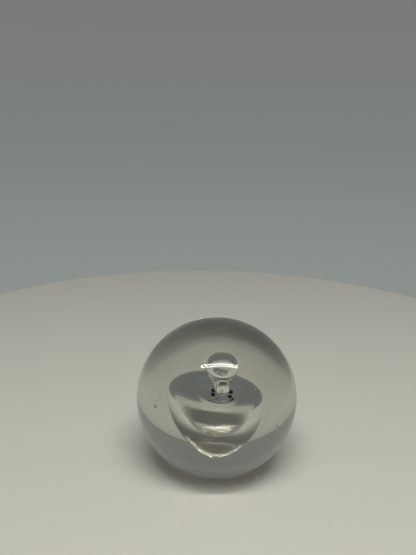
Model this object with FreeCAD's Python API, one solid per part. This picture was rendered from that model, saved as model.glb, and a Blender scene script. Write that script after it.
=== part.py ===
"""A solid clear-glass paperweight ball with trapped air, built up in three gathers of hot glass.

Frame: the origin is the centre of the ground flat base, +Z runs up the ball's axis, +X is to the right
and -Y is the ball's front. All sizes are in millimetres.

The core gather is pressed in to make a drop-shaped pocket. The middle gather closes that pocket with a
nearly flat top, and is poked itself, more finely. The outer gather closes the second pocket and is
blocked to a round ball, which is then ground flat underneath. Neighbours are fused face to face.
"""
import FreeCAD, Part
import math
import os

V = FreeCAD.Vector
UP = V(0, 0, 1)

# ---- the ball ---------------------------------------------------------------------------------
BALL_RADIUS = 32.5           # the blocked outer surface
BASE_RADIUS = 12.5           # the flat ground under the ball so that it stands

# ---- the large bubble: a drop, wider than it is deep, with a nearly flat top -----------------------
DROP_HALF_WIDTH = 13.0       # from side to side, at its widest place
DROP_HALF_DEPTH = 9.4        # from front to back, at its widest place
DROP_WIDEST = -0.65          # that place, above the ball's centre
DROP_TOP_RISE = 4.2          # from there up to the top
DROP_TIP_FALL = 15.6         # from there down to the tip
DROP_OFFSET = -0.4           # the drop's axis from the ball's axis, along X
SLOPE_RIGHT = 0.095          # how much the drop falls for each millimetre to the right
SLOPE_FRONT = 0.12           # and for each millimetre to the front
TOP_FLATNESS = 3.2           # exponent of the top's outline: 2 is an ellipse, more is flatter
SIDE_BULGE = 1.45            # exponents of the lower outline: across,
SIDE_FALL = 1.9              # and down
OUTLINE_STEPS = 9            # points on each of the two outlines

# ---- the small bubble: a flattened bulb on a stem with a pointed foot ------------------------------
BULB_RADIUS = 5.5
BULB_HALF_HEIGHT = 4.9
BULB_RISE = 13.3             # the bulb's middle above the drop's widest place
BULB_RIGHT = 1.5             # the bulb's axis from the ball's axis, to the right
BULB_FRONT = 5.5             # and to the front
STEM_TOP_RADIUS = 4.3        # where the stem leaves the bulb
STEM_FOOT_RADIUS = 2.4       # where the point begins
POINT_HEIGHT = 2.2           # the pointed foot
POINT_GAP = 0.15             # clear glass between the point and the drop's top

# ---- the glass round the bubbles -------------------------------------------------------------------
CORE_WALL_SIDE = 5.4         # core glass beside the drop
CORE_WALL_BELOW = 4.0        # core glass below the drop
MIDDLE_WALL_SIDE = 4.6       # middle glass beside the core
MIDDLE_WALL_BELOW = 3.0      # middle glass below the core
POKE_MOUTH = 0.8             # the pressed-flat top of the middle gather above the bulb's middle

# ---- flecks of scale that lie on the drop's top, beside the point ----------------------------------
FLECK_RADIUS = 0.65
FLECK_SPREAD = 2.45          # each fleck from the bulb's axis, to the left or right
FLECK_FRONT = 3.8            # from the ball's axis, to the front
FLECK_GAP = 0.05             # clear glass between a fleck and the drop's top

# ---- seed bubbles round the drop: name, turn from +X in degrees, level on the drop (1 is its top, 0 its
# widest place, -1 its tip), distance outside the drop's outline at that level, radius ---------------
DROP_SEEDS = (
    ("seed_bubble_left", 201.3, 0.15, 6.85, 0.60),
    ("seed_bubble_left_small", 190.2, 0.54, 4.05, 0.25),
    ("seed_bubble_right", 326.8, 1.70, 14.20, 0.25),
    ("seed_bubble_right_low", 343.2, -0.37, 7.10, 0.35),
    ("seed_bubble_low", 199.3, -1.00, 6.40, 0.40),
)

# ---- seed bubbles under the ball's skin: name, turn and rise in degrees, depth, radius --------------
SKIN_SEEDS = (
    ("seed_bubble_base", 292.0, -50.0, 2.6, 0.30),
    ("seed_bubble_top", 340.0, 87.5, 6.5, 0.25),
)

# ---- places that follow from the sizes above -------------------------------------------------------
CENTRE_HEIGHT = math.sqrt(BALL_RADIUS ** 2 - BASE_RADIUS ** 2)
WIDEST_Z = CENTRE_HEIGHT + DROP_WIDEST
DROP_TIP_Z = WIDEST_Z - DROP_TIP_FALL
BULB_Z = WIDEST_Z + BULB_RISE
CORE_RADIUS = DROP_HALF_WIDTH + CORE_WALL_SIDE
CORE_BOTTOM_Z = DROP_TIP_Z - CORE_WALL_BELOW
MIDDLE_RADIUS = CORE_RADIUS + MIDDLE_WALL_SIDE
MIDDLE_BOTTOM_Z = CORE_BOTTOM_Z - MIDDLE_WALL_BELOW
MIDDLE_TOP_Z = BULB_Z + POKE_MOUTH


def sloped(height, x, y):
    """A height on the drop's axis, carried along the drop's slope to x and y."""
    return height - (x - DROP_OFFSET) * SLOPE_RIGHT + y * SLOPE_FRONT


def slope_shape(shape, depth_share=1.0):
    """The shape with the drop's slope, after its depth is changed by a share."""
    skew = FreeCAD.Matrix()
    skew.A22 = depth_share
    skew.A31 = -SLOPE_RIGHT
    skew.A32 = SLOPE_FRONT * depth_share
    skew.A34 = DROP_OFFSET * SLOPE_RIGHT
    return shape.transformGeometry(skew)


def line(start, end):
    return Part.LineSegment(V(start[0], 0, start[1]), V(end[0], 0, end[1])).toShape()


def turned(edges, x, y=0.0):
    """A solid turned about the vertical line at x and y, from edges drawn round Z in the XZ plane."""
    solid = Part.Face(Part.Wire(edges)).revolve(V(0, 0, 0), UP, 360)
    return solid.translated(V(x, y, 0))


def drop_outline():
    """Points down the drop's outline from the top to the tip, as distance from its axis and height."""
    points = []
    for step in range(OUTLINE_STEPS):
        angle = math.pi / 2 * (1 - step / OUTLINE_STEPS)
        points.append((DROP_HALF_WIDTH * math.cos(angle) ** (2 / TOP_FLATNESS),
                       WIDEST_Z + DROP_TOP_RISE * math.sin(angle) ** (2 / TOP_FLATNESS)))
    for step in range(OUTLINE_STEPS):
        angle = math.pi / 2 * step / OUTLINE_STEPS
        points.append((DROP_HALF_WIDTH * math.cos(angle) ** (2 / SIDE_BULGE),
                       WIDEST_Z - DROP_TIP_FALL * math.sin(angle) ** (2 / SIDE_FALL)))
    points[0] = (0, WIDEST_Z + DROP_TOP_RISE)
    return points + [(0, DROP_TIP_Z)]


def large_bubble():
    """The drop, turned from its outline, then narrowed from front to back and sloped."""
    points = [V(across, 0, height) for across, height in drop_outline()]
    outline = Part.BSplineCurve()
    outline.interpolate(Points=points, InitialTangent=V(1, 0, 0), FinalTangent=V(-1, 0, 0))
    round_drop = turned([outline.toShape(), Part.LineSegment(points[-1], points[0]).toShape()], DROP_OFFSET)
    return slope_shape(round_drop, DROP_HALF_DEPTH / DROP_HALF_WIDTH)


def small_bubble():
    """The flattened bulb, and the stem and point that the poking tool left under it."""
    round_x = BULB_RADIUS - BULB_HALF_HEIGHT
    start = -math.acos((STEM_TOP_RADIUS - round_x) / BULB_HALF_HEIGHT)
    middle = (start + math.pi / 2) / 2
    side = [V(round_x + BULB_HALF_HEIGHT * math.cos(a), 0, BULB_Z + BULB_HALF_HEIGHT * math.sin(a))
            for a in (math.pi / 2, middle, start)]
    crown = (0, BULB_Z + BULB_HALF_HEIGHT)
    point = (0, sloped(WIDEST_Z + DROP_TOP_RISE, BULB_RIGHT, -BULB_FRONT) + POINT_GAP)
    foot = (STEM_FOOT_RADIUS, point[1] + POINT_HEIGHT)
    return turned([
        line(crown, (round_x, crown[1])),
        Part.Arc(*side).toShape(),
        line((side[2].x, side[2].z), foot),
        line(foot, point),
        line(point, crown),
    ], BULB_RIGHT, -BULB_FRONT)


def fleck(side):
    """A dark fleck of scale on the drop's top; side is -1 on the left and +1 on the right."""
    x = BULB_RIGHT + side * FLECK_SPREAD
    top = sloped(WIDEST_Z + DROP_TOP_RISE, x, -FLECK_FRONT)
    return Part.makeSphere(FLECK_RADIUS, V(x, -FLECK_FRONT, top + FLECK_GAP + FLECK_RADIUS))


def drop_radius(level):
    """The drop's half width at a level on it, and nothing above its top."""
    if level > 0:
        return DROP_HALF_WIDTH * max(0.0, 1 - level ** TOP_FLATNESS) ** (1 / TOP_FLATNESS)
    return DROP_HALF_WIDTH * (1 - abs(level) ** SIDE_FALL) ** (1 / SIDE_BULGE)


def drop_seed(turn, level, distance, radius):
    """A tiny round bubble beside the drop."""
    reach = drop_radius(level) + distance
    height = WIDEST_Z + level * (DROP_TOP_RISE if level > 0 else DROP_TIP_FALL)
    return Part.makeSphere(radius, V(DROP_OFFSET + reach * math.cos(math.radians(turn)),
                                     reach * math.sin(math.radians(turn)), height))


def skin_seed(turn, rise, depth, radius):
    """A tiny round bubble at a depth below the ball's surface."""
    reach = BALL_RADIUS - depth
    level = reach * math.cos(math.radians(rise))
    return Part.makeSphere(radius, V(level * math.cos(math.radians(turn)),
                                     level * math.sin(math.radians(turn)),
                                     CENTRE_HEIGHT + reach * math.sin(math.radians(rise))))


def below(height):
    """Everything under a height: a block that is larger than the ball."""
    reach = 4 * BALL_RADIUS
    return Part.makeBox(2 * reach, 2 * reach, reach, V(-reach, -reach, height - reach))


def below_widest():
    """Everything under the sloped plane through the drop's widest place."""
    block = below(0)
    across = V(SLOPE_RIGHT, -SLOPE_FRONT, 1)
    block.Placement = FreeCAD.Placement(V(DROP_OFFSET, 0, WIDEST_Z), FreeCAD.Rotation(UP, across))
    return block


def core_lump():
    """The core gather before the pocket is pressed in: a round bowl up to the drop's widest place."""
    lump = Part.makeSphere(CORE_RADIUS, V(DROP_OFFSET, 0, CORE_BOTTOM_Z + CORE_RADIUS))
    return lump.common(below_widest())


def middle_lump():
    """The middle gather as a solid round lump, pressed flat on top where it is poked."""
    lump = Part.makeSphere(MIDDLE_RADIUS, V(0, 0, MIDDLE_BOTTOM_Z + MIDDLE_RADIUS))
    return lump.common(below(MIDDLE_TOP_Z))


def ball():
    """The blocked ball, ground flat at the height of the base."""
    return Part.makeSphere(BALL_RADIUS, V(0, 0, CENTRE_HEIGHT)).cut(below(0))


def without(shape, others):
    for other in others:
        shape = shape.cut(other)
    return shape


def pieces():
    """Every node of the ball, by name."""
    inner = {"large_bubble": large_bubble(), "small_bubble": small_bubble()}
    inner["fleck_left"] = fleck(-1)
    inner["fleck_right"] = fleck(1)
    for name, *place in DROP_SEEDS:
        inner[name] = drop_seed(*place)
    for name, *place in SKIN_SEEDS:
        inner[name] = skin_seed(*place)
    trapped = list(inner.values())
    core = core_lump()
    middle = middle_lump()
    glass = {
        "core_gather": without(core, trapped),
        "middle_gather": without(middle, [core] + trapped),
        "outer_gather": without(ball(), [middle] + trapped),
    }
    return {**glass, **inner}


os.makedirs("parts", exist_ok=True)
for name, shape in pieces().items():
    print(name, "solids", len(shape.Solids), "volume", round(shape.Volume, 2), "valid", shape.isValid())
    shape.exportStep(f"parts/{name}.step")
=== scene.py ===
# %% [markdown]
# A solid glass paperweight with a drop-shaped bubble, a small bubble above it and a few seeds, on a
# round pale table. The CAD nodes give every place and size; the pieces here are their fine versions.
# Light bends at each skin. The ball's skin has glass's index, and each bubble inside it is a closed skin
# with the inverse index, so a ray that enters a bubble leaves glass for air.

# %% load the frame and keep the CAD box
import math
import bpy
from mathutils import Matrix, Quaternion, Vector


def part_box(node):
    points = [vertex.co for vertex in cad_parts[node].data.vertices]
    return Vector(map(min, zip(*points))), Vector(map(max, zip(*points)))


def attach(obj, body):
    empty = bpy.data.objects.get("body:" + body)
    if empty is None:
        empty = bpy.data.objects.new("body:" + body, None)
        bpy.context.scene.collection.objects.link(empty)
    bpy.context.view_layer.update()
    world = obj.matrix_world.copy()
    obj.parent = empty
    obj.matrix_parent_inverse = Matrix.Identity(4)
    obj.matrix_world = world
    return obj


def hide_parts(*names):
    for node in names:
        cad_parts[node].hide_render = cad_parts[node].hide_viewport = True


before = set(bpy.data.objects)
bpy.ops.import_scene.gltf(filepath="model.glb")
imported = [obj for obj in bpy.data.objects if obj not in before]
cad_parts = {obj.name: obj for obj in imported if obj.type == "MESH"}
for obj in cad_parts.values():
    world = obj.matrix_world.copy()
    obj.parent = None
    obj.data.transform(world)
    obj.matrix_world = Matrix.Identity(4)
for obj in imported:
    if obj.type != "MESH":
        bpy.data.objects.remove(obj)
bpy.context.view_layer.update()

MM = 0.001
scene = bpy.context.scene

# %% [markdown]
# Small helpers keep the cells short. Every piece starts as a primitive, is shaped in edit mode, and ends
# with its place in its mesh. Turned pieces are drawn as an outline by extruding one point again and again,
# then spun round the upright axis, as glass is turned on the pipe.

# %% helpers for modelling


def deselect():
    bpy.ops.object.select_all(action="DESELECT")


def edit(select="SELECT"):
    bpy.ops.object.mode_set(mode="EDIT")
    bpy.ops.mesh.select_all(action=select)


def settle(name, smooth_angle):
    """Leaves edit mode, seals and names the active piece, and puts its place into its mesh."""
    bpy.ops.object.mode_set(mode="EDIT")
    bpy.ops.mesh.select_all(action="SELECT")
    bpy.ops.mesh.remove_doubles(threshold=1e-7)
    bpy.ops.mesh.normals_make_consistent(inside=False)
    bpy.ops.object.mode_set(mode="OBJECT")
    piece = bpy.context.object
    piece.name = name
    bpy.ops.object.transform_apply(location=True, rotation=True, scale=True)
    bpy.ops.object.shade_smooth_by_angle(angle=math.radians(smooth_angle))
    return piece


def turn(outline, x, y, steps):
    """The active object becomes the outline of (radius, height) points, spun round an upright axis."""
    deselect()
    bpy.ops.mesh.primitive_plane_add(size=0.001, location=(0, 0, 0))
    edit()
    bpy.ops.mesh.merge(type="CENTER")
    bpy.ops.transform.translate(value=(outline[0][0], 0, outline[0][1]))
    for start, end in zip(outline, outline[1:]):
        step = (end[0] - start[0], 0, end[1] - start[1])
        bpy.ops.mesh.extrude_region_move(TRANSFORM_OT_translate={"value": step})
    bpy.ops.mesh.select_all(action="SELECT")
    bpy.ops.mesh.spin(steps=steps, angle=math.tau, center=(0, 0, 0), axis=(0, 0, 1))
    bpy.ops.mesh.select_all(action="SELECT")
    bpy.ops.mesh.remove_doubles(threshold=1e-7)
    bpy.ops.transform.translate(value=(x, y, 0))
    bpy.ops.object.mode_set(mode="OBJECT")


def report(piece):
    low = [min(vertex.co[axis] for vertex in piece.data.vertices) / MM for axis in range(3)]
    high = [max(vertex.co[axis] for vertex in piece.data.vertices) / MM for axis in range(3)]
    print(piece.name, "from", [round(v, 2) for v in low], "to", [round(v, 2) for v in high],
          "mm,", len(piece.data.polygons), "faces")


# %% [markdown]
# The ball is blocked round in wet wood and ground flat underneath. A sphere of the CAD radius is cut by the
# table's plane, the cut is filled, and its sharp rim is eased with a narrow bevel as a grinder would. An
# inset marks off the ring of the base that carries the weight and is worn matt.

# %% the glass ball
ball_low, ball_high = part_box("outer_gather")
BALL_RADIUS = (ball_high[0] - ball_low[0]) / 2
BALL_CENTRE = Vector(((ball_high[0] + ball_low[0]) / 2, (ball_high[1] + ball_low[1]) / 2,
                      ball_high[2] - BALL_RADIUS))
RIM_EASE = 0.35 * MM
WORN_RING = 2.4 * MM
BALL_STEPS = 256
BALL_RINGS = 160

deselect()
bpy.ops.mesh.primitive_uv_sphere_add(segments=BALL_STEPS, ring_count=BALL_RINGS, radius=BALL_RADIUS,
                                     location=BALL_CENTRE)
edit()
bpy.ops.mesh.bisect(plane_co=(0, 0, ball_low[2]), plane_no=(0, 0, -1), use_fill=True, clear_outer=True)
bpy.ops.mesh.bevel(offset=RIM_EASE, segments=3, affect="EDGES")
bpy.ops.object.mode_set(mode="OBJECT")
glass_ball = settle("glass_ball", 40)
report(glass_ball)
print("radius", round(BALL_RADIUS / MM, 2), "centre", [round(v / MM, 2) for v in BALL_CENTRE])

# %% [markdown]
# The flat base is the one face that looks straight down. Its outer ring is inset, so that it can take a
# finish of its own.

# %% the base's worn ring
BASE_FACING = -0.999
BASE_SLACK = 0.01 * MM
bpy.ops.object.mode_set(mode="EDIT")
bpy.ops.mesh.select_all(action="DESELECT")
bpy.ops.object.mode_set(mode="OBJECT")
for face in glass_ball.data.polygons:
    face.select = face.normal.z < BASE_FACING and face.center.z < ball_low[2] + BASE_SLACK
bpy.ops.object.mode_set(mode="EDIT")
bpy.ops.mesh.inset(thickness=WORN_RING, depth=0)
bpy.ops.object.mode_set(mode="OBJECT")
base_faces = [face.index for face in glass_ball.data.polygons
              if face.normal.z < BASE_FACING and face.center.z < ball_low[2] + BASE_SLACK]
print("base faces", len(base_faces))

# %% [markdown]
# The large bubble is a drop: a wooden peg pressed into hot glass leaves a rounded cone, and the next
# gather closes it with a nearly flat top. Its outline is two quarter curves, each a power of a cosine and
# of a sine: flat and square-shouldered above, nearly pointed below. The spin is squeezed from front to
# back.

# %% the large bubble's outline
drop_low, drop_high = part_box("large_bubble")
DROP_X = (drop_low[0] + drop_high[0]) / 2
DROP_HALF_WIDTH = (drop_high[0] - drop_low[0]) / 2
DROP_SQUEEZE = (drop_high[1] - drop_low[1]) / (drop_high[0] - drop_low[0])
DROP_TOP_RISE = 4.2 * MM
DROP_TIP_FALL = 15.6 * MM
DROP_WIDEST_Z = drop_low[2] + DROP_TIP_FALL
TOP_FLATNESS = 3.2
SIDE_BULGE = 1.45
SIDE_FALL = 1.9
DROP_STEPS = 192
TOP_STEPS = 60
SIDE_STEPS = 60
SLOPE_RIGHT = 0.095
SLOPE_FRONT = 0.12

drop_outline = [(0.0, DROP_WIDEST_Z + DROP_TOP_RISE)]
for step in range(1, TOP_STEPS + 1):
    angle = math.pi / 2 * (1 - step / TOP_STEPS)
    drop_outline.append((DROP_HALF_WIDTH * math.cos(angle) ** (2 / TOP_FLATNESS),
                         DROP_WIDEST_Z + DROP_TOP_RISE * math.sin(angle) ** (2 / TOP_FLATNESS)))
for step in range(1, SIDE_STEPS):
    angle = math.pi / 2 * step / SIDE_STEPS
    drop_outline.append((DROP_HALF_WIDTH * math.cos(angle) ** (2 / SIDE_BULGE),
                         DROP_WIDEST_Z - DROP_TIP_FALL * math.sin(angle) ** (2 / SIDE_FALL)))
drop_outline.append((0.0, drop_low[2]))
turn(drop_outline, 0, 0, DROP_STEPS)
edit()
bpy.ops.transform.resize(value=(1, DROP_SQUEEZE, 1))
bpy.ops.transform.translate(value=(DROP_X, 0, 0))
bpy.ops.object.mode_set(mode="OBJECT")
drop_bubble = bpy.context.object

# %% [markdown]
# A lattice of eight points leans the drop, so that its top falls to the right and to the front while the
# tip stays under the middle.

# %% lean the drop with a lattice
LATTICE_REACH = 20 * MM


def lean(piece, middle, reach, slope_right, slope_front):
    """A lattice cube of half-size reach round the middle slides the piece's points up or down."""
    bpy.ops.object.add(type="LATTICE", location=middle)
    lattice = bpy.context.object
    lattice.scale = (2 * reach, 2 * reach, 2 * reach)
    cage = lattice.data
    cage.points_u = cage.points_v = cage.points_w = 2
    cage.interpolation_type_u = cage.interpolation_type_v = cage.interpolation_type_w = "KEY_LINEAR"
    for point in cage.points:
        across, deep = point.co[0], point.co[1]
        point.co_deform[2] = point.co[2] - slope_right * across + slope_front * deep
    deselect()
    piece.select_set(True)
    bpy.context.view_layer.objects.active = piece
    modifier = piece.modifiers.new("lean", "LATTICE")
    modifier.object = lattice
    bpy.ops.object.modifier_apply(modifier=modifier.name)
    deselect()
    lattice.select_set(True)
    bpy.ops.object.delete()
    piece.select_set(True)
    bpy.context.view_layer.objects.active = piece


lean(drop_bubble, (DROP_X, 0, DROP_WIDEST_Z), LATTICE_REACH, SLOPE_RIGHT, SLOPE_FRONT)
report(drop_bubble)

# %% [markdown]
# The poke that made the small bubble pressed on the soft skin over the drop and left a low round ridge in
# the drop's top. A blend that fades with distance from the poke's axis is shaped by a colour band into a
# ring, and pushes the fine mesh of the top upwards.

# %% the ridge round the poke
poke_low, poke_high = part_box("small_bubble")
POKE_X = (poke_low[0] + poke_high[0]) / 2
POKE_Y = (poke_low[1] + poke_high[1]) / 2
RING_RADIUS = 6.0 * MM
RING_WIDTH = 1.1 * MM
RING_HEIGHT = 0.36 * MM
RING_LEFT = 1.1 * MM
RING_Y = -2.5 * MM
ring_x = POKE_X - RING_LEFT
ring_z = DROP_WIDEST_Z + DROP_TOP_RISE - (ring_x - DROP_X) * SLOPE_RIGHT + RING_Y * SLOPE_FRONT

ring_blend = bpy.data.textures.new("ring_blend", "BLEND")
ring_blend.progression = "SPHERICAL"
ring_blend.use_color_ramp = True
band = ring_blend.color_ramp
band.interpolation = "EASE"
half_band = RING_WIDTH / (2 * RING_RADIUS)
band.elements[0].position = 0.5 - half_band
band.elements[0].color = (0, 0, 0, 1)
band.elements[1].position = 0.5 + half_band
band.elements[1].color = (0, 0, 0, 1)
crest = band.elements.new(0.5)
crest.color = (1, 1, 1, 1)
bpy.ops.object.empty_add(location=(ring_x, RING_Y, ring_z))
marker = bpy.context.object
marker.scale = (2 * RING_RADIUS, 2 * RING_RADIUS, 2 * RING_RADIUS)
deselect()
drop_bubble.select_set(True)
bpy.context.view_layer.objects.active = drop_bubble
push = drop_bubble.modifiers.new("push", "DISPLACE")
push.texture = ring_blend
push.texture_coords = "OBJECT"
push.texture_coords_object = marker
push.direction = "Z"
push.strength = RING_HEIGHT
push.mid_level = 0
bpy.ops.object.modifier_apply(modifier=push.name)
deselect()
marker.select_set(True)
bpy.ops.object.delete()
drop_bubble.select_set(True)
bpy.context.view_layer.objects.active = drop_bubble
drop_bubble = settle("drop_bubble", 60)
report(drop_bubble)

# %% [markdown]
# The small bubble closed round the poking tool. The trapped air drew up into a slightly flattened bulb,
# and the tool's own track stayed under it as a short stem with a pointed foot. The outline is a shallow
# half ellipse over a deeper one, cut off at the neck, then a hollow curve to the foot and a point.

# %% the small bubble
BULB_RADIUS = (poke_high[0] - poke_low[0]) / 2
DOME_HEIGHT = 3.9 * MM
BELLY_DEPTH = 5.6 * MM
BULB_Z = poke_high[2] - DOME_HEIGHT
NECK_ANGLE = -42
FOOT_RADIUS = 2.4 * MM
FOOT_HEIGHT = 2.2 * MM
STEM_HOLLOW = 0.35 * MM
BULB_STEPS = 160
DOME_STEPS = 40
STEM_STEPS = 14

bulb_outline = [(0.0, poke_high[2])]
for step in range(1, DOME_STEPS + 1):
    angle = math.radians(90 + (NECK_ANGLE - 90) * step / DOME_STEPS)
    reach = DOME_HEIGHT if angle > 0 else BELLY_DEPTH
    bulb_outline.append((BULB_RADIUS * math.cos(angle), BULB_Z + reach * math.sin(angle)))
neck_radius, neck_z = bulb_outline[-1]
foot_z = poke_low[2] + FOOT_HEIGHT
for step in range(1, STEM_STEPS + 1):
    share = step / STEM_STEPS
    hollow = STEM_HOLLOW * math.sin(math.pi * share)
    bulb_outline.append((neck_radius + (FOOT_RADIUS - neck_radius) * share - hollow,
                         neck_z + (foot_z - neck_z) * share))
bulb_outline.append((FOOT_RADIUS * 0.5, poke_low[2] + FOOT_HEIGHT * 0.5))
bulb_outline.append((0.0, poke_low[2]))
turn(bulb_outline, POKE_X, POKE_Y, BULB_STEPS)
bulb_bubble = settle("bulb_bubble", 40)
report(bulb_bubble)

# %% [markdown]
# Seeds are specks of gas that never rose out of the melt. Gathering stretches each a little, so every
# one is a small sphere drawn out along its own direction.

# %% the seed bubbles
SEED_STEPS = 32
SEED_STRETCH = 1.12
SEED_TURN = 40
seed_names = sorted(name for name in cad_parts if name.startswith("seed_bubble"))
seed_pieces = {}
for turn_index, node in enumerate(seed_names):
    low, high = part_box(node)
    radius = (high[2] - low[2]) / 2
    middle = [(a + b) / 2 for a, b in zip(low, high)]
    deselect()
    bpy.ops.mesh.primitive_uv_sphere_add(segments=SEED_STEPS, ring_count=SEED_STEPS // 2, radius=radius,
                                         location=middle)
    edit()
    bpy.ops.transform.resize(value=(1 / SEED_STRETCH, 1 / SEED_STRETCH, SEED_STRETCH),
                             center_override=middle)
    bpy.ops.transform.rotate(value=math.radians(SEED_TURN * turn_index), orient_axis="Y",
                             center_override=middle)
    bpy.ops.object.mode_set(mode="OBJECT")
    seed_pieces[node] = settle(node.replace("bubble", "fine"), 80)
    report(seed_pieces[node])

# %% [markdown]
# Two dark flecks lie on the skin over the drop, beside the stem's foot. They are burnt scale from the
# pipe or the peg, so each is a small crumb: a ball of triangles pushed out of round at random and
# pressed a little flat.

# %% the dark flecks
FLECK_ROUGHNESS = 0.09
FLECK_PRESS = 0.85
fleck_pieces = {}
for draw, node in enumerate(("fleck_left", "fleck_right")):
    low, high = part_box(node)
    radius = (high[2] - low[2]) / 2
    middle = [(a + b) / 2 for a, b in zip(low, high)]
    deselect()
    bpy.ops.mesh.primitive_ico_sphere_add(subdivisions=4, radius=radius, location=middle)
    edit()
    bpy.ops.transform.resize(value=(1, 1, FLECK_PRESS), center_override=middle)
    bpy.ops.transform.vertex_random(offset=radius * FLECK_ROUGHNESS, seed=draw, normal=0.6)
    bpy.ops.mesh.vertices_smooth(factor=0.5, repeat=1)
    bpy.ops.object.mode_set(mode="OBJECT")
    fleck_pieces[node] = settle(node.replace("fleck", "scale_crumb"), 30)
    report(fleck_pieces[node])

# %% [markdown]
# The table is a pale round turntable. Its edge is eased by a bevel, and it lies a hair below the ball so
# that the two flat faces don't fight. It isn't part of the paperweight, so it is staged.

# %% the table
TABLE_RADIUS = 196.6 * MM
TABLE_X = -3.1 * MM
TABLE_Y = 91.3 * MM
TABLE_THICK = 18 * MM
TABLE_GAP = 0.06 * MM
TABLE_EASE = 1.2 * MM
deselect()
bpy.ops.mesh.primitive_cylinder_add(vertices=256, radius=TABLE_RADIUS, depth=TABLE_THICK,
                                    location=(TABLE_X, TABLE_Y, -TABLE_THICK / 2 - TABLE_GAP))
edit()
bpy.ops.mesh.bevel(offset=TABLE_EASE, segments=4, affect="EDGES")
bpy.ops.object.mode_set(mode="OBJECT")
table = settle("table", 40)
report(table)

# %% [markdown]
# Three shared effects are node groups. Skin ripple is the slight waviness that tools leave on hot glass.
# Speck field is a sparse mask of tiny pits. Soft mottle varies a colour slowly over a surface.

# %% shared effects


def group(name, inputs, outputs):
    """A shader node group with number inputs and the named outputs; returns the tree and its ends."""
    tree = bpy.data.node_groups.new(name, "ShaderNodeTree")
    for label, value in inputs:
        socket = tree.interface.new_socket(label, in_out="INPUT", socket_type="NodeSocketFloat")
        socket.default_value = value
    for label, kind in outputs:
        tree.interface.new_socket(label, in_out="OUTPUT", socket_type=kind)
    return tree, tree.nodes.new("NodeGroupInput"), tree.nodes.new("NodeGroupOutput")


def noise(tree, scale, detail):
    node = tree.nodes.new("ShaderNodeTexNoise")
    node.inputs["Scale"].default_value = scale
    node.inputs["Detail"].default_value = detail
    place = tree.nodes.new("ShaderNodeTexCoord")
    tree.links.new(place.outputs["Object"], node.inputs["Vector"])
    return node


def math_node(tree, operation, first, second=None):
    node = tree.nodes.new("ShaderNodeMath")
    node.operation = operation
    for socket, value in zip(node.inputs, (first, second)):
        if isinstance(value, (int, float)):
            socket.default_value = value
        elif value is not None:
            tree.links.new(value, socket)
    return node.outputs[0]


ripple, ripple_in, ripple_out = group("skin_ripple", [("Scale", 90.0), ("Height", 0.00002)],
                                      [("Normal", "NodeSocketVector"), ("Wave", "NodeSocketFloat")])
wave = noise(ripple, 90.0, 1.0)
ripple.links.new(ripple_in.outputs["Scale"], wave.inputs["Scale"])
ripple_bump = ripple.nodes.new("ShaderNodeBump")
ripple.links.new(wave.outputs["Fac"], ripple_bump.inputs["Height"])
ripple.links.new(ripple_in.outputs["Height"], ripple_bump.inputs["Distance"])
ripple.links.new(ripple_bump.outputs["Normal"], ripple_out.inputs["Normal"])
ripple.links.new(wave.outputs["Fac"], ripple_out.inputs["Wave"])

specks, specks_in, specks_out = group("speck_field", [("Scale", 1500.0), ("Size", 0.12)],
                                      [("Mask", "NodeSocketFloat")])
cells = specks.nodes.new("ShaderNodeTexVoronoi")
cells_place = specks.nodes.new("ShaderNodeTexCoord")
specks.links.new(cells_place.outputs["Object"], cells.inputs["Vector"])
specks.links.new(specks_in.outputs["Scale"], cells.inputs["Scale"])
specks.links.new(math_node(specks, "LESS_THAN", cells.outputs["Distance"], specks_in.outputs["Size"]),
                 specks_out.inputs["Mask"])

mottle, mottle_in, mottle_out = group("soft_mottle", [("Scale", 30.0), ("Spread", 0.05)],
                                      [("Shade", "NodeSocketFloat")])
cloud = noise(mottle, 30.0, 3.0)
mottle.links.new(mottle_in.outputs["Scale"], cloud.inputs["Scale"])
cloud_centred = math_node(mottle, "SUBTRACT", cloud.outputs["Fac"], 0.5)
cloud_spread = math_node(mottle, "MULTIPLY", cloud_centred, mottle_in.outputs["Spread"])
mottle.links.new(math_node(mottle, "ADD", cloud_spread, 1.0), mottle_out.inputs["Shade"])
print("groups", [tree.name for tree in bpy.data.node_groups])

# %% [markdown]
# Each finish starts from a new material, takes the effects it needs, and multiplies its colour by the
# mottle's shade.

# %% helpers for finishes


def material(name):
    made = bpy.data.materials.new(name)
    made.use_nodes = True
    return made, made.node_tree, made.node_tree.nodes["Principled BSDF"]


def use(tree, group_tree, **values):
    node = tree.nodes.new("ShaderNodeGroup")
    node.node_tree = group_tree
    for label, value in values.items():
        node.inputs[label].default_value = value
    return node


def tinted(tree, shade, colour, socket):
    """The colour multiplied by the shade goes into the socket."""
    mix = tree.nodes.new("ShaderNodeMix")
    mix.data_type = "RGBA"
    mix.blend_type = "MULTIPLY"
    mix.inputs["Factor"].default_value = 1
    mix.inputs["A"].default_value = (*colour, 1)
    tree.links.new(shade, mix.inputs["B"])
    tree.links.new(mix.outputs["Result"], socket)


# %% [markdown]
# The clear glass is smooth, with a green-grey tint from iron that varies a little over the surface, and
# the slight ripple of a hand-blocked skin. The worn ring under the ball is matt and finely pitted.

# %% clear glass and worn glass
GLASS_INDEX = 1.52
GLASS_TINT = (0.74, 0.748, 0.70)
WORN_TINT = (0.9, 0.91, 0.9)
clear_glass, tree, shader = material("clear_glass")
shader.inputs["Roughness"].default_value = 0
shader.inputs["Transmission Weight"].default_value = 1
shader.inputs["IOR"].default_value = GLASS_INDEX
tinted(tree, use(tree, mottle, Scale=25.0, Spread=0.05).outputs["Shade"], GLASS_TINT,
       shader.inputs["Base Color"])
tree.links.new(use(tree, ripple, Scale=70.0, Height=0.00003).outputs["Normal"], shader.inputs["Normal"])

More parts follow.
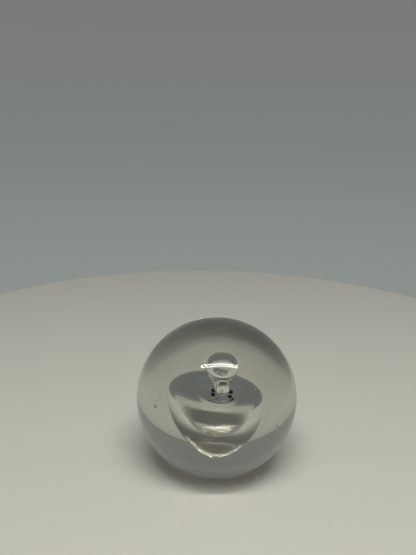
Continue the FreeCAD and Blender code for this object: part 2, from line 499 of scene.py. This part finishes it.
worn_glass, tree, shader = material("worn_glass")
shader.inputs["Transmission Weight"].default_value = 1
shader.inputs["IOR"].default_value = GLASS_INDEX
tinted(tree, use(tree, mottle, Scale=400.0, Spread=0.2).outputs["Shade"], WORN_TINT,
       shader.inputs["Base Color"])
pits = use(tree, specks, Scale=5200.0, Size=0.28).outputs["Mask"]
tree.links.new(math_node(tree, "ADD", math_node(tree, "MULTIPLY", pits, 0.1), 0.3),
               shader.inputs["Roughness"])
print("glass", clear_glass.name, worn_glass.name, "index", GLASS_INDEX)

# %% [markdown]
# The bubbles' skins are glass to air, so their index is the inverse of the glass's. They are fire-polished
# and have only the faintest ripple. Seeds share the finish.

# %% trapped air
AIR_TINT = (0.985, 0.99, 0.98)
trapped_air, tree, shader = material("trapped_air")
shader.inputs["Roughness"].default_value = 0
shader.inputs["Transmission Weight"].default_value = 1
shader.inputs["IOR"].default_value = 1 / GLASS_INDEX
tinted(tree, use(tree, mottle, Scale=120.0, Spread=0.04).outputs["Shade"], AIR_TINT,
       shader.inputs["Base Color"])
tree.links.new(use(tree, ripple, Scale=120.0, Height=0.00001).outputs["Normal"], shader.inputs["Normal"])
print("air", trapped_air.name, "index", round(1 / GLASS_INDEX, 3))

# %% [markdown]
# Scale is burnt, matt and nearly black, with smoother grains.

# %% dark scale
SCALE_COLOUR = (0.012, 0.011, 0.010)
dark_scale, tree, shader = material("dark_scale")
tinted(tree, use(tree, mottle, Scale=2500.0, Spread=0.9).outputs["Shade"], SCALE_COLOUR,
       shader.inputs["Base Color"])
grains = use(tree, specks, Scale=6000.0, Size=0.2).outputs["Mask"]
tree.links.new(math_node(tree, "SUBTRACT", 0.75, math_node(tree, "MULTIPLY", grains, 0.3)),
               shader.inputs["Roughness"])
print("scale", dark_scale.name, SCALE_COLOUR)

# %% [markdown]
# The table is matt pale paint with a fine tooth.

# %% table paint
PAINT_COLOUR = (0.62, 0.615, 0.55)
PAINT_TOOTH = 0.00003
table_paint, tree, shader = material("table_paint")
tinted(tree, use(tree, mottle, Scale=14.0, Spread=0.03).outputs["Shade"], PAINT_COLOUR,
       shader.inputs["Base Color"])
tooth = use(tree, specks, Scale=1400.0, Size=0.35).outputs["Mask"]
tree.links.new(math_node(tree, "ADD", math_node(tree, "MULTIPLY", tooth, 0.1), 0.55),
               shader.inputs["Roughness"])
table_bump = tree.nodes.new("ShaderNodeBump")
table_bump.inputs["Distance"].default_value = PAINT_TOOTH
tree.links.new(use(tree, mottle, Scale=900.0, Spread=1.0).outputs["Shade"], table_bump.inputs["Height"])
tree.links.new(table_bump.outputs["Normal"], shader.inputs["Normal"])
print("paint", table_paint.name, PAINT_COLOUR)

# %% [markdown]
# Every piece rides on the one body, takes its slot's finish and stands for its CAD nodes. The three
# gathers fused without a seam that can be seen, so one ball stands for them.

# %% finishes and places in the frame
glass_ball.data.materials.append(clear_glass)
glass_ball.data.materials.append(worn_glass)
ring_inner = (BALL_RADIUS ** 2 - BALL_CENTRE.z ** 2) ** 0.5 - WORN_RING
for index in base_faces:
    face = glass_ball.data.polygons[index]
    if Vector((face.center.x, face.center.y)).length > ring_inner:
        face.material_index = 1
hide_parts("outer_gather", "middle_gather", "core_gather")
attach(glass_ball, "root")
for piece, node in [(drop_bubble, "large_bubble"), (bulb_bubble, "small_bubble")] + [
        (piece, node) for node, piece in seed_pieces.items()]:
    piece.data.materials.append(trapped_air)
    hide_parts(node)
    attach(piece, "root")
for node, piece in fleck_pieces.items():
    piece.data.materials.append(dark_scale)
    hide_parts(node)
    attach(piece, "root")
table.data.materials.append(table_paint)
worn_faces = sum(face.material_index == 1 for face in glass_ball.data.polygons)
print("worn faces", worn_faces, "bubbles", 2 + len(seed_pieces), "flecks", len(fleck_pieces))

# %% [markdown]
# The wall round the table is the world: a ramp over height, darker above and paler below the table's
# level.

# %% world
WORLD_RAMP = (
    (-1.0, (0.25, 0.25, 0.24)),
    (-0.28, (0.262, 0.283, 0.266)),
    (-0.1, (0.202, 0.220, 0.205)),
    (0.03, (0.190, 0.198, 0.187)),
    (0.3, (0.160, 0.168, 0.160)),
    (0.9, (0.16, 0.16, 0.16)),
)
world = bpy.data.worlds.new("room")
scene.world = world
world.use_nodes = True
tree = world.node_tree
place = tree.nodes.new("ShaderNodeTexCoord")
split = tree.nodes.new("ShaderNodeSeparateXYZ")
tree.links.new(place.outputs["Generated"], split.inputs[0])
height = tree.nodes.new("ShaderNodeMapRange")
height.inputs["From Min"].default_value = -1
tree.links.new(split.outputs["Z"], height.inputs["Value"])
ramp = tree.nodes.new("ShaderNodeValToRGB")
tree.links.new(height.outputs["Result"], ramp.inputs["Fac"])
tree.links.new(ramp.outputs["Color"], tree.nodes["Background"].inputs["Color"])
while len(ramp.color_ramp.elements) < len(WORLD_RAMP):
    ramp.color_ramp.elements.new(0.5)
for element, (sine, colour) in zip(ramp.color_ramp.elements, WORLD_RAMP):
    element.position = (sine + 1) / 2
    element.color = (*colour, 1)
print("world steps", len(ramp.color_ramp.elements))

# %% [markdown]
# Two thin tubes overhead give the bright lines in the glass. One broad soft light in front of them lights
# the table and is not mirrored.

# %% lights


def soft_light(name, place, size, power, colour, mirrored, turned=0):
    """A rectangle of light that faces the ball; mirrored is whether the glass shows it."""
    lamp = bpy.data.lights.new(name, "AREA")
    lamp.shape = "RECTANGLE"
    lamp.size = size[0]
    lamp.size_y = size[1]
    lamp.energy = power
    lamp.color = colour
    holder = bpy.data.objects.new(name, lamp)
    scene.collection.objects.link(holder)
    holder.location = place
    facing = (BALL_CENTRE - Vector(place)).to_track_quat("-Z", "Y")
    holder.rotation_euler = (Quaternion((0, 0, 1), math.radians(turned)) @ facing).to_euler()
    holder.visible_glossy = mirrored
    holder.visible_transmission = mirrored


TUBE_DISTANCE = 0.85
TUBE_LEANS = (22.0, 19.2)
TUBE_TURN = -4.2
TUBE_SIZE = (0.75, 0.011)
TUBE_POWER = 1.5
TUBE_RIGHT = 0.038
TUBE_COLOUR = (1.0, 0.995, 0.96)
ROOM_PLACE = (0.04, -0.420, 0.766)
ROOM_SIZE = (0.45, 0.35)
ROOM_POWER = 3.0
for lean_angle in TUBE_LEANS:
    tilt = math.radians(lean_angle)
    tube_place = (TUBE_RIGHT, -TUBE_DISTANCE * math.sin(tilt),
                  BALL_CENTRE.z + TUBE_DISTANCE * math.cos(tilt))
    soft_light("tube", tube_place, TUBE_SIZE, TUBE_POWER, TUBE_COLOUR, True, TUBE_TURN)
soft_light("room", ROOM_PLACE, ROOM_SIZE, ROOM_POWER, TUBE_COLOUR, False)
print("lights", [lamp.name for lamp in bpy.data.lights])

# %% [markdown]
# The camera looks down on the table from the front, with a little roll.

# %% camera
CAMERA_PLACE = Vector((-4.1 * MM, -282.7 * MM, 166.1 * MM))
PITCH_DOWN = 16.79
ROLL = 0.71
FOCAL = 65.77
SENSOR_WIDTH = 36
BOUNCES = 32
lens = bpy.data.cameras.new("camera")
lens.sensor_fit = "HORIZONTAL"
lens.sensor_width = SENSOR_WIDTH
lens.lens = FOCAL
lens.clip_start = 0.01
camera = bpy.data.objects.new("camera", lens)
scene.collection.objects.link(camera)
camera.matrix_world = (Matrix.Translation(CAMERA_PLACE)
                       @ Matrix.Rotation(math.radians(90 - PITCH_DOWN), 4, "X")
                       @ Matrix.Rotation(math.radians(ROLL), 4, "Z"))
scene.camera = camera
scene.view_settings.view_transform = "Standard"
scene.cycles.max_bounces = BOUNCES
scene.cycles.transmission_bounces = BOUNCES
scene.cycles.glossy_bounces = 24
scene.cycles.caustics_reflective = True
scene.cycles.caustics_refractive = True
scene.cycles.blur_glossy = 0.0
scene.cycles.sample_clamp_indirect = 60
print("camera", [round(value / MM, 1) for value in CAMERA_PLACE], "focal", FOCAL)
